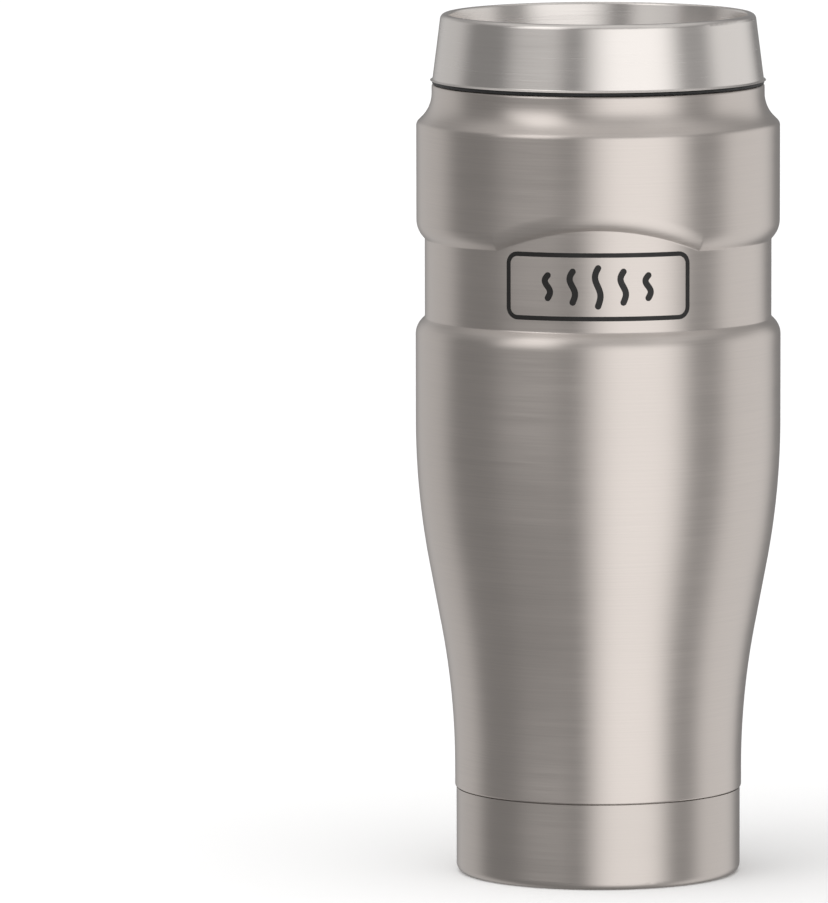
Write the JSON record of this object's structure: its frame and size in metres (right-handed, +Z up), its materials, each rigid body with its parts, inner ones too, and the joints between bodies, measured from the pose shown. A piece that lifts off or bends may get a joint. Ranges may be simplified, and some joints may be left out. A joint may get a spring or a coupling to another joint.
{
  "type": "insulated travel mug",
  "caption": "Vacuum-insulated brushed steel travel mug with a screw-on drinking lid and a lever dial that works a valve under the lid.",
  "frame": {"origin": "middle of the base, on the surface that the mug stands on", "axes": "+Z up along the mug's axis; -Y is the front, where the badge panel is; +X is to the right"},
  "size_m": [0.0812, 0.0812, 0.192],
  "materials": {
    "body_steel": "brushed satin",
    "collar_steel": "fine satin",
    "inner_steel": "electropolished",
    "solder": "as cast",
    "getter": "pressed powder",
    "foil": "bright foil",
    "lid_plastic": "fine matte",
    "valve_plastic": "satin",
    "silicone": "matte silicone",
    "pin_steel": "ground"
  },
  "bodies": {
    "flask": {"outer_shell": "body_steel", "inner_liner": "inner_steel", "vacuum_floor": "inner_steel", "seal_bead": "solder", "getter_clip": "inner_steel", "getter_pellet": "getter", "radiation_foil": "foil", "base_cap": "body_steel"},
    "rim_ring": {"rim_seal": "silicone"},
    "lid": {"drink_collar": "collar_steel", "collar_core": "lid_plastic", "lid_housing": "lid_plastic", "lid_seal": "silicone", "lid_deck": "lid_plastic", "label_ring": "lid_plastic"},
    "dial": {"dial": "lid_plastic", "lever": "lid_plastic", "cam_pin": "pin_steel", "shaft_seal": "silicone"},
    "valve": {"valve_sleeve": "valve_plastic", "valve_disc": "valve_plastic", "valve_seal": "silicone"}
  },
  "joints": [
    {"name": "lid_rise", "type": "slide", "parent": "flask", "child": "rim_ring", "axis": [0, 0, 1], "range_m": [0, 0.048]},
    {"name": "lid_turn", "type": "hinge", "parent": "rim_ring", "child": "lid", "pos_m": [0, 0, 0.1772], "axis": [0, 0, 1], "range_deg": [0, 2160]},
    {"name": "dial_turn", "type": "hinge", "parent": "lid", "child": "dial", "pos_m": [0, 0, 0.182], "axis": [0, 0, 1], "range_deg": [-90, 0]},
    {"name": "valve_slide", "type": "slide", "parent": "lid", "child": "valve", "axis": [0, 0, 1], "range_m": [0, 0.003]}
  ],
  "couplings": [
    {"joint": "lid_rise", "follows": "lid_turn", "m_per_rad": 0.0012732},
    {"joint": "valve_slide", "follows": "dial_turn", "m_per_rad": -0.0019099}
  ]
}
